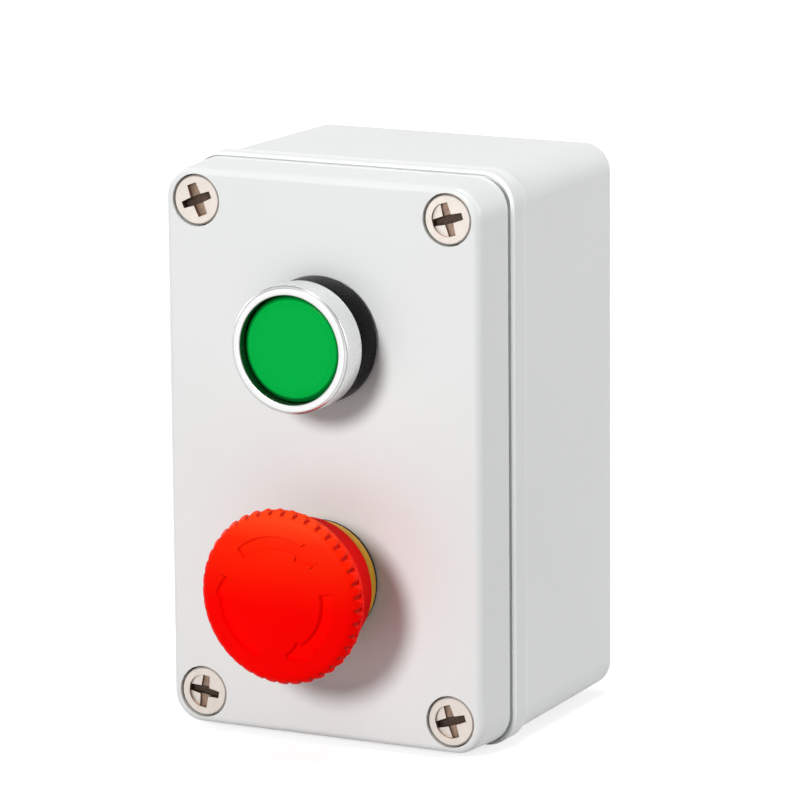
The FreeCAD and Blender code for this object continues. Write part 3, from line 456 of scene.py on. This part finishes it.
PANEL_GASKET = 0.8
COLLAR_RADIUS = 14.4
COLLAR_FRONT = 8.2
COLLAR_FLOOR = 3.0
SPIGOT_RADIUS = 13.5
SPIGOT_BORE = 12.8
SPIGOT_FRONT = 11.5
BARREL_RADIUS = 11.0
BARREL_BORE = 9.0
BARREL_FLOOR = 3.0
STEM_BORE = 4.25

BEZEL_RADIUS = 14.5
BEZEL_SEAT = 13.55
BEZEL_BORE = 12.3
BEZEL_FRONT = 15.6
BEZEL_CHAMFER = 0.6

LENS_RADIUS = 12.15
LENS_FACE_RADIUS = 11.05
LENS_BORE = 10.65
LENS_FACE = 13.9
LENS_SLOPE = 12.9
LENS_BACK = 12.8
LENS_FLANGE_RADIUS = 12.55
LENS_FLANGE_FRONT = 11.2
LENS_FLANGE_BACK = 9.6
LENS_RINGS = (10.5, 9.8)
LENS_RING_WIDTH = 0.12
LENS_RING_DEPTH = 0.05


def make_green_collar(plastic):
    barrel_inside = BARREL_END + BARREL_FLOOR
    outline = [
        (STEM_BORE, BARREL_END, 0), (BARREL_RADIUS, BARREL_END, 0.4), (BARREL_RADIUS, PANEL_GASKET, 0),
        (COLLAR_RADIUS, PANEL_GASKET, 0.3), (COLLAR_RADIUS, COLLAR_FRONT, 0.25),
        (SPIGOT_RADIUS, COLLAR_FRONT, 0), (SPIGOT_RADIUS, SPIGOT_FRONT, 0.15),
        (SPIGOT_BORE, SPIGOT_FRONT, 0.15), (SPIGOT_BORE, COLLAR_FLOOR, 0), (BARREL_BORE, COLLAR_FLOOR, 0),
        (BARREL_BORE, barrel_inside, 0), (STEM_BORE, barrel_inside, 0),
    ]
    shape = turned(outline, GREEN_AXIS)
    new_piece("black_collar", shape, [plastic], "enclosure", ["green_collar"])


def make_green_bezel(metal_finish):
    outline = [
        (BEZEL_SEAT, COLLAR_FRONT, 0), (BEZEL_RADIUS, COLLAR_FRONT, 0.25),
        (BEZEL_RADIUS, BEZEL_FRONT - BEZEL_CHAMFER, 0.2), (BEZEL_RADIUS - BEZEL_CHAMFER, BEZEL_FRONT, 0.2),
        (BEZEL_BORE, BEZEL_FRONT, 0.35), (BEZEL_BORE, SPIGOT_FRONT, 0), (BEZEL_SEAT, SPIGOT_FRONT, 0),
    ]
    shape = turned(outline, GREEN_AXIS, FINE_COLUMNS)
    new_piece("silver_bezel", shape, [metal_finish], "enclosure", ["green_bezel"])


def make_green_lens(lens_finish):
    outline = [
        (0, LENS_BACK, 0), (LENS_BORE, LENS_BACK, 0), (LENS_BORE, LENS_FLANGE_BACK, 0),
        (LENS_FLANGE_RADIUS, LENS_FLANGE_BACK, 0), (LENS_FLANGE_RADIUS, LENS_FLANGE_FRONT, 0),
        (LENS_RADIUS, LENS_FLANGE_FRONT, 0), (LENS_RADIUS, LENS_SLOPE, 0.3),
        (LENS_FACE_RADIUS, LENS_FACE, 0.25),
    ]
    for ring in LENS_RINGS:
        outline += [
            (ring, LENS_FACE, 0), (ring - LENS_RING_WIDTH / 2, LENS_FACE - LENS_RING_DEPTH, 0),
            (ring - LENS_RING_WIDTH, LENS_FACE, 0),
        ]
    outline.append((0, LENS_FACE, 0))
    shape = turned(outline, GREEN_AXIS, FINE_COLUMNS)
    new_piece("green_lens_disc", shape, [lens_finish], "green_button", ["green_lens"])


# Emergency stop: radii, and heights over the panel, in millimetres


RING_BORE = 11.3
RING_RADIUS = 13.6
RING_FRONT = 3.0

HUB_BORE = 3.05
HUB_RADIUS = 6.0
HUB_END = 10.6
NECK_RADIUS = 15.6
NECK_BORE = 14.7
NECK_END = 6.6
NECK_WEB = 14.0

CAP_BACK = 16.8
CAP_SOCKET = 19.8
CAP_FOOT_RADIUS = 18.6
CAP_FOOT_FRONT = 18.0


def make_yellow_ring(plastic):
    outline = [
        (RING_BORE, PANEL_GASKET, 0), (RING_RADIUS, PANEL_GASKET, 0.2), (RING_RADIUS, RING_FRONT, 0.6),
        (RING_BORE, RING_FRONT, 0),
    ]
    shape = turned(outline, STOP_AXIS)
    new_piece("yellow_base_ring", shape, [plastic], "enclosure", ["yellow_ring"])


def make_mushroom_neck(plastic):
    outline = [
        (HUB_BORE, HUB_END, 0), (HUB_RADIUS, HUB_END, 0.3), (HUB_RADIUS, NECK_WEB, 0),
        (NECK_BORE, NECK_WEB, 0), (NECK_BORE, NECK_END, 0.15), (NECK_RADIUS, NECK_END, 0.3),
        (NECK_RADIUS, CAP_BACK, 0), (HUB_BORE, CAP_BACK, 0),
    ]
    shape = turned(outline, STOP_AXIS)
    new_piece("red_neck", shape, [plastic], "mushroom_head", ["mushroom_neck"])


CAP_RIM = 20.0
CAP_TOP = 24.5
DOME_EDGE = 21.8
SHOULDER = 3.2
GRIP_LOBES = 40
GRIP_DEPTH = 0.9
GRIP_SHARPNESS = 1.6
GRIP_START = 19.1
GRIP_VALLEY = -3.0
FOOT_STEP = 0.5
CAP_COLUMNS = 600

ARROW_RADIUS = 12.9
ARROW_HALF = 1.1
ARROW_BARB = 2.1
ARROW_EDGE = 0.45
ARROW_DEPTH = 0.75
ARROW_TAILS = (131.0, 11.0, -109.0)
ARROW_SWEEP = 89.0
ARROW_HEAD = 19.5
ARROW_NOTCH = 1.8
ARROW_POINT = 0.04

# How far the step from the foot to the lobes reaches below the start of the grip and over it.
LIP_BELOW = 0.05
LIP_OVER = 0.1
SHOULDER_STEPS = 24
# Rows of the dome outside the arrows and inside them.
OUTER_ROWS = (17.0, 16.3, 15.6)
INNER_ROWS = (10.2, 9.2, 8.0, 6.6, 5.2, 3.8, 2.4, 1.2)

DOME_RADIUS = (CAP_RIM**2 + (CAP_TOP - DOME_EDGE) ** 2) / (2 * (CAP_TOP - DOME_EDGE))
DOME_CENTRE = CAP_TOP - DOME_RADIUS


def dome_height(radius):
    return DOME_CENTRE + math.sqrt(DOME_RADIUS**2 - radius**2)


def cap_outline():
    """Half of the cap's section: socket, foot, grip, shoulder and dome."""
    shoulder_inset = CAP_RIM - SHOULDER
    shoulder_rise = math.sqrt((DOME_RADIUS - SHOULDER) ** 2 - shoulder_inset**2)
    shoulder_centre = DOME_CENTRE + shoulder_rise
    full_turn = math.atan2(shoulder_rise, shoulder_inset)
    foot = CAP_RIM - FOOT_STEP
    outline = [
        (0, CAP_SOCKET, 0), (HUB_BORE, CAP_SOCKET, 0), (HUB_BORE, CAP_BACK, 0),
        (CAP_FOOT_RADIUS, CAP_BACK, 0.4), (foot, CAP_FOOT_FRONT, 0.3),
        (foot, GRIP_START - LIP_BELOW, 0), (CAP_RIM, GRIP_START + LIP_OVER, 0),
    ]
    for step in range(SHOULDER_STEPS + 1):
        angle = full_turn * step / SHOULDER_STEPS
        reach = shoulder_inset + SHOULDER * math.cos(angle)
        outline.append((reach, shoulder_centre + SHOULDER * math.sin(angle), 0))
    rows = [*OUTER_ROWS, *(ARROW_RADIUS + offset for offset in arrow_rows()), *INNER_ROWS]
    outline += [(radius, dome_height(radius), 0) for radius in rows]
    outline.append((0, CAP_TOP, 0))
    return outline


def arrow_rows():
    """Rows across an arrow, from its outer edge to its inner one, as millimetres off its middle."""
    half = ARROW_HALF
    return [half + ARROW_EDGE, half, half / 2, 0, -half / 2, -half, -half - ARROW_EDGE]


def grip_reach(angle):
    """The radius that the lobes of the grip leave at an angle in degrees."""
    turn = math.radians((angle - GRIP_VALLEY) * GRIP_LOBES)
    return CAP_RIM - GRIP_DEPTH * (0.5 + 0.5 * math.cos(turn)) ** GRIP_SHARPNESS


def arrow_at(angle):
    """Half width and depth of the twist arrows at an angle in degrees."""
    for tail in ARROW_TAILS:
        along = (tail - angle) % 360
        left = ARROW_SWEEP - along
        if 0 <= left <= ARROW_HEAD:
            return max(ARROW_BARB * left / ARROW_HEAD, ARROW_POINT), ARROW_DEPTH
        if ARROW_HEAD < left <= ARROW_SWEEP:
            widening = max(1 - (left - ARROW_HEAD) / ARROW_NOTCH, 0)
            return ARROW_HALF + (ARROW_BARB - ARROW_HALF) * widening, ARROW_DEPTH
    return ARROW_HALF, 0.0


def make_mushroom_cap(plastic):
    shape = turned(cap_outline(), STOP_AXIS, CAP_COLUMNS)
    offsets = {round(ARROW_RADIUS + offset, 3): offset for offset in arrow_rows()}
    for point in shape.verts:
        across = point.co.x / MM
        up = (point.co.z - STOP_AXIS) / MM
        radius = math.hypot(across, up)
        height = (PANEL_FACE - point.co.y) / MM
        if radius < ON_AXIS:
            continue
        angle = math.degrees(math.atan2(up, across))
        moved = radius
        offset = offsets.get(round(radius, 3)) if height > DOME_EDGE else None
        if offset is not None:
            half, depth = arrow_at(angle)
            if abs(offset) > ARROW_HALF:
                moved = ARROW_RADIUS + math.copysign(half + ARROW_EDGE, offset)
                depth = 0.0
            else:
                moved = ARROW_RADIUS + offset * half / ARROW_HALF
            height = dome_height(moved) - depth
        elif height > GRIP_START:
            moved = min(radius, grip_reach(angle))
        point.co.x *= moved / radius
        point.co.z = STOP_AXIS + up * moved / radius * MM
        point.co.y = PANEL_FACE - height * MM
    bmesh.ops.recalc_face_normals(shape, faces=shape.faces[:])
    new_piece(
        "knurled_mushroom_cap", shape, [plastic], "mushroom_head", ["mushroom_cap"], sharp=40
    )


# Cover screws


SCREW_SPOT_X = 31.5
SCREW_SPOT_Z = 57.0
# How each screw was left turned, by its side and level on the cover, in degrees.
SCREW_TURNS = {(-1, -1): -8.0, (-1, 1): 202.0, (1, -1): 18.0, (1, 1): 16.0}
HEAD_RADIUS = 5.7
HEAD_BEVEL = 0.35
HEAD_HEIGHT = 2.8
HEAD_SINK = 0.3
SHANK_RADIUS = 2.0
SCREW_LENGTH = 14.4
SCREW_POINT = 0.4
CROSS_END = 3.8
ARM_TIP = 1.0
SLOT_TIP = 0.78
CROSS_ROOT = (1.2, 1.0)
POCKET_DEPTH = 0.6
ARM_DEPTH = 1.2
SLOT_DEPTH = 1.8
HEAD_COLUMNS = 96
POCKET_STEPS = 12


def pocket_bow(shape, first, last):
    """The round side of a pocket, between two corners of the cross."""
    start = math.atan2(first.co.y, first.co.x) % math.tau
    stop = math.atan2(last.co.y, last.co.x) % math.tau
    bow = first.co.length
    turns = [start + (stop - start) * step / POCKET_STEPS for step in range(1, POCKET_STEPS)]
    return [shape.verts.new((bow * math.cos(turn), bow * math.sin(turn), 0)) for turn in turns]


def sunk(shape, faces, depth):
    """Pushes a patch of faces down and gives it walls."""
    made = bmesh.ops.extrude_face_region(shape, geom=faces)["geom"]
    points = [item for item in made if isinstance(item, bmesh.types.BMVert)]
    bmesh.ops.translate(shape, verts=points, vec=(0, 0, -depth * MM))
    bmesh.ops.delete(shape, geom=faces, context="FACES")
    return [item for item in made if isinstance(item, bmesh.types.BMFace)]


def screw_shape():
    """One screw that stands on the origin: a head with a cross and two pockets beside it, and a shank."""
    shape = bmesh.new()
    face_radius = HEAD_RADIUS - HEAD_BEVEL
    rim = bmesh.ops.create_circle(shape, segments=HEAD_COLUMNS, radius=face_radius * MM)["verts"]
    rim.sort(key=lambda point: round(math.atan2(point.co.y, point.co.x) % math.tau, 6))
    tip, slot, end = ARM_TIP * MM, SLOT_TIP * MM, CROSS_END * MM
    wide, tall = CROSS_ROOT[0] * MM, CROSS_ROOT[1] * MM
    corners = [
        (tip, end), (wide, tall), (end, slot), (end, -slot), (wide, -tall), (tip, -end),
        (-tip, -end), (-wide, -tall), (-end, -slot), (-end, slot), (-wide, tall), (-tip, end),
    ]
    cross = [shape.verts.new((x, y, 0)) for x, y in corners]
    upper = pocket_bow(shape, cross[11], cross[9])
    lower = pocket_bow(shape, cross[8], cross[6])
    # Lines from the two side arms to the rim, at 11.25 and 168.75 degrees, part the head's face in two.
    near, far = HEAD_COLUMNS // 32, HEAD_COLUMNS * 15 // 32
    shape.faces.new([*rim[near:far + 1], cross[9], *reversed(upper), cross[11], *cross[:3]])
    shape.faces.new([*rim[far:], *rim[:near + 1], *cross[2:7], *reversed(lower), cross[8], cross[9]])
    patch = [
        shape.faces.new([*reversed(cross[7:11]), *reversed(cross[1:5])]),
        shape.faces.new([cross[11], cross[10], cross[1], cross[0]]),
        shape.faces.new([cross[7], cross[6], cross[5], cross[4]]),
        shape.faces.new([cross[8], *lower, cross[6], cross[7]]),
        shape.faces.new([cross[11], *upper, cross[9], cross[10]]),
    ]
    bmesh.ops.recalc_face_normals(shape, faces=shape.faces[:])
    top = set(shape.faces)
    pocket_level = sunk(shape, patch, POCKET_DEPTH)
    cross_faces = [face for face in pocket_level if abs(face.calc_center_median().x) < tip / 2]
    arm_level = sunk(shape, cross_faces, ARM_DEPTH - POCKET_DEPTH)
    slot_faces = [face for face in arm_level if abs(face.calc_center_median().y) < tip / 2]
    above_slot = set(shape.faces)
    sunk(shape, slot_faces, SLOT_DEPTH - ARM_DEPTH)
    # Faces sunk below the head, except the floors of the pockets, take painted shade: the second finish down
    # to the arms, the third in the slot.
    for face in set(shape.faces) - top - set(pocket_level):
        face.material_index = 1 if face in above_slot else 2
    shank_end = -SCREW_LENGTH - HEAD_HEIGHT
    side = [
        (face_radius, 0), (HEAD_RADIUS, -HEAD_BEVEL), (HEAD_RADIUS, -HEAD_HEIGHT),
        (SHANK_RADIUS, -HEAD_HEIGHT), (SHANK_RADIUS, shank_end + SCREW_POINT),
        (SHANK_RADIUS - SCREW_POINT, shank_end), (0, shank_end),
    ]
    line = [shape.verts.new((radius * MM, 0, level * MM)) for radius, level in side]
    lines = [shape.edges.new(pair) for pair in zip(line, line[1:])]
    bmesh.ops.spin(
        shape, geom=line + lines, cent=(0, 0, 0), axis=(0, 0, 1),
        angle=math.tau, steps=HEAD_COLUMNS, use_merge=True,
    )
    return closed_up(shape)


def make_cover_screws(nickel, recess, slot):
    one = bpy.data.meshes.new("one_screw")
    single = screw_shape()
    single.to_mesh(one)
    single.free()
    shape = bmesh.new()
    for (side, level), turn in SCREW_TURNS.items():
        spot = Vector((side * SCREW_SPOT_X * MM, PANEL_FACE + HEAD_SINK * MM, level * SCREW_SPOT_Z * MM))
        upright = Matrix.Rotation(math.radians(90), 4, "X") @ Matrix.Rotation(math.radians(turn), 4, "Z")
        copy = one.copy()
        copy.transform(Matrix.Translation(spot) @ upright)
        shape.from_mesh(copy)
        bpy.data.meshes.remove(copy)
    bpy.data.meshes.remove(one)
    finishes = [nickel, recess, slot]
    new_piece("cross_head_screws", shape, finishes, "enclosure", ["cover_screws"], sharp=30)


# Springs


WIRE_SIDES = 12
STEPS_PER_TURN = 36
# Each spring's piece, node and joint, the share of its length that full travel leaves, its turns and its wire
# in millimetres.
SPRINGS = (
    ("green_spring", "green_return_spring", "green_push", 0.778, 6, 0.8),
    ("stop_spring", "stop_return_spring", "stop_push", 0.467, 3, 0.8),
    ("start_contact_spring", "start_block_spring", "start_contact_push", 0.579, 4, 0.5),
    ("stop_contact_spring", "stop_block_spring", "stop_contact_push", 0.579, 4, 0.5),
)


def make_spring(name, node, joint, keep, turns, wire, steel):
    """A coil of round wire that fills the box of its CAD node."""
    low, high = (Vector(corner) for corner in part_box(node))
    axis = (low.z + high.z) / 2
    coil = (high.x - low.x - wire * MM) / 2
    reach = high.y - low.y - wire * MM
    steps = turns * STEPS_PER_TURN
    start = Matrix.Translation((coil, low.y + wire * MM / 2, axis))
    shape = bmesh.new()
    bmesh.ops.create_circle(shape, segments=WIRE_SIDES, radius=wire * MM / 2, matrix=start)
    bmesh.ops.spin(
        shape, geom=shape.verts[:] + shape.edges[:], cent=(0, 0, axis),
        axis=(0, 1, 0), dvec=(0, reach / steps, 0), angle=math.tau * turns, steps=steps,
    )
    bmesh.ops.holes_fill(shape, edges=shape.edges[:], sides=WIRE_SIDES)
    piece = new_piece(name, closed_up(shape), [steel], "enclosure", [node], sharp=60)
    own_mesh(piece)


# The whole object


def dress_cad_nodes(finishes):
    """Gives each CAD node that still shows the finish of its slot."""
    slots = {part["node"]: part["material_slot"] for part in frame["record"]["subparts"]}
    for node, thing in frame["nodes"].items():
        for place in thing.material_slots:
            place.link = "OBJECT"
            place.material = finishes[slots[node]]


def build_object():
    finishes = {
        "grey_plastic": moulded_grey(),
        "black_rubber": black_rubber(),
        "screw_metal": screw_nickel(),
        "brass": contact_brass(),
        "black_plastic": black_collar_plastic(),
        "bezel_metal": bezel_metal(),
        "green_plastic": lens_green(),
        "white_plastic": white_insert_plastic(),
        "yellow_plastic": yellow_ring_plastic(),
        "red_plastic": red_cap_plastic(),
        "steel": spring_steel(),
        "block_plastic": block_plastic(),
    }
    dress_cad_nodes(finishes)
    make_green_collar(finishes["black_plastic"])
    make_green_bezel(finishes["bezel_metal"])
    make_green_lens(finishes["green_plastic"])
    make_yellow_ring(finishes["yellow_plastic"])
    make_mushroom_neck(red_neck_plastic())
    make_mushroom_cap(finishes["red_plastic"])
    make_cover_screws(finishes["screw_metal"], screw_recess_painted_shade(), screw_slot_painted_shade())
    for spring in SPRINGS:
        make_spring(*spring, finishes["steel"])


# Studio: lengths in metres


FLOOR_HALF = 6
FLOOR_GREY = 176
# The floor's own glow near the object and away from it, and how far away each of them is.
FLOOR_GLOW = (0.72, 1.0)
FLOOR_GLOW_REACH = (0.3, 1.2)
# The white surroundings as light on the object and as what is seen.
WORLD_LIGHT = (0.08, 1)
# Each lamp's place, width and power in watts.
LAMPS = {
    "key_lamp": ((-0.1, -1.36, 0.5), 0.36, 14.3),
    "right_fill": ((1.45, 0.75, 0.5), 1.0, 14.3),
    "left_fill": ((-1.45, 0.75, 0.5), 1.0, 9),
    "top_fill": ((0.15, -0.02, 1.6), 0.6, 12.5),
}
# The camera that was fitted to the photo: its place, its axes and its lens in millimetres.
CAMERA_EYE = (0.569385, -1.144233, 0.268428)
CAMERA_RIGHT = (0.890944, 0.454036, -0.008303)
CAMERA_UP = (-0.085869, 0.186396, 0.978715)
CAMERA_BACK = (0.445920, -0.871268, 0.205057)
CAMERA_LENS = 249.92
CAMERA_SENSOR = 36


def seen_directly(tree):
    """One for what the camera sees, straight or in a shiny or clear surface, and nothing for other light."""
    path = tree.nodes.new("ShaderNodeLightPath")
    total = path.outputs["Is Camera Ray"]
    for ray in ("Is Glossy Ray", "Is Transmission Ray"):
        larger = tree.nodes.new("ShaderNodeMath")
        larger.operation = "MAXIMUM"
        tree.links.new(total, larger.inputs[0])
        tree.links.new(path.outputs[ray], larger.inputs[1])
        total = larger.outputs[0]
    return total.node, total.name


def make_floor():
    shape = bmesh.new()
    bmesh.ops.create_grid(
        shape, x_segments=4, y_segments=4, size=FLOOR_HALF, matrix=Matrix.Translation((0, 0, FLOOR_LEVEL))
    )
    mesh = bpy.data.meshes.new("studio_floor")
    shape.to_mesh(mesh)
    shape.free()
    floor = bpy.data.objects.new("studio_floor", mesh)
    bpy.context.scene.collection.objects.link(floor)
    finish = Finish("studio_paper", paint(FLOOR_GREY, FLOOR_GREY, FLOOR_GREY), 0.9)
    finish.cloud_colour(3, 0.99)
    away = finish.node("VectorMath", {0: (finish.node("TexCoord"), "Object")}, operation="LENGTH")
    white = finish.reach((away, "Value"), *FLOOR_GLOW_REACH, *FLOOR_GLOW)
    level = finish.calc("MULTIPLY", white, seen_directly(finish.tree))
    glow = finish.node("Emission", {"Color": (1, 1, 1, 1), "Strength": level})
    lift = finish.node("AddShader", {0: (finish.shader, "BSDF"), 1: (glow, "Emission")})
    finish.join((lift, "Shader"), finish.tree.nodes["Material Output"].inputs["Surface"])
    mesh.materials.append(finish.material)


def make_world():
    world = bpy.data.worlds.new("studio_white")
    bpy.context.scene.world = world
    world.use_nodes = True
    tree = world.node_tree
    sky = tree.nodes["Background"]
    sky.inputs["Color"].default_value = (1, 1, 1, 1)
    level = tree.nodes.new("ShaderNodeMapRange")
    level.inputs["To Min"].default_value, level.inputs["To Max"].default_value = WORLD_LIGHT
    seen, output = seen_directly(tree)
    tree.links.new(seen.outputs[output], level.inputs["Value"])
    tree.links.new(level.outputs["Result"], sky.inputs["Strength"])


def make_lamp(name, spot, width, watts):
    lamp = bpy.data.lights.new(name, "AREA")
    lamp.shape = "DISK"
    lamp.size = width
    lamp.energy = watts
    stand = bpy.data.objects.new(name, lamp)
    stand.location = spot
    stand.rotation_euler = Vector(spot).to_track_quat("Z", "Y").to_euler()
    bpy.context.scene.collection.objects.link(stand)


def make_camera():
    lens = bpy.data.cameras.new("photo_camera")
    lens.lens = CAMERA_LENS
    lens.sensor_width = CAMERA_SENSOR
    camera = bpy.data.objects.new("photo_camera", lens)
    axes = Matrix((CAMERA_RIGHT, CAMERA_UP, CAMERA_BACK)).transposed()
    camera.matrix_world = Matrix.Translation(CAMERA_EYE) @ axes.to_4x4()
    bpy.context.scene.collection.objects.link(camera)
    bpy.context.scene.camera = camera


build_object()
make_floor()
make_world()
for lamp_name, settings in LAMPS.items():
    make_lamp(lamp_name, *settings)
make_camera()
bpy.context.scene.view_settings.view_transform = "Standard"
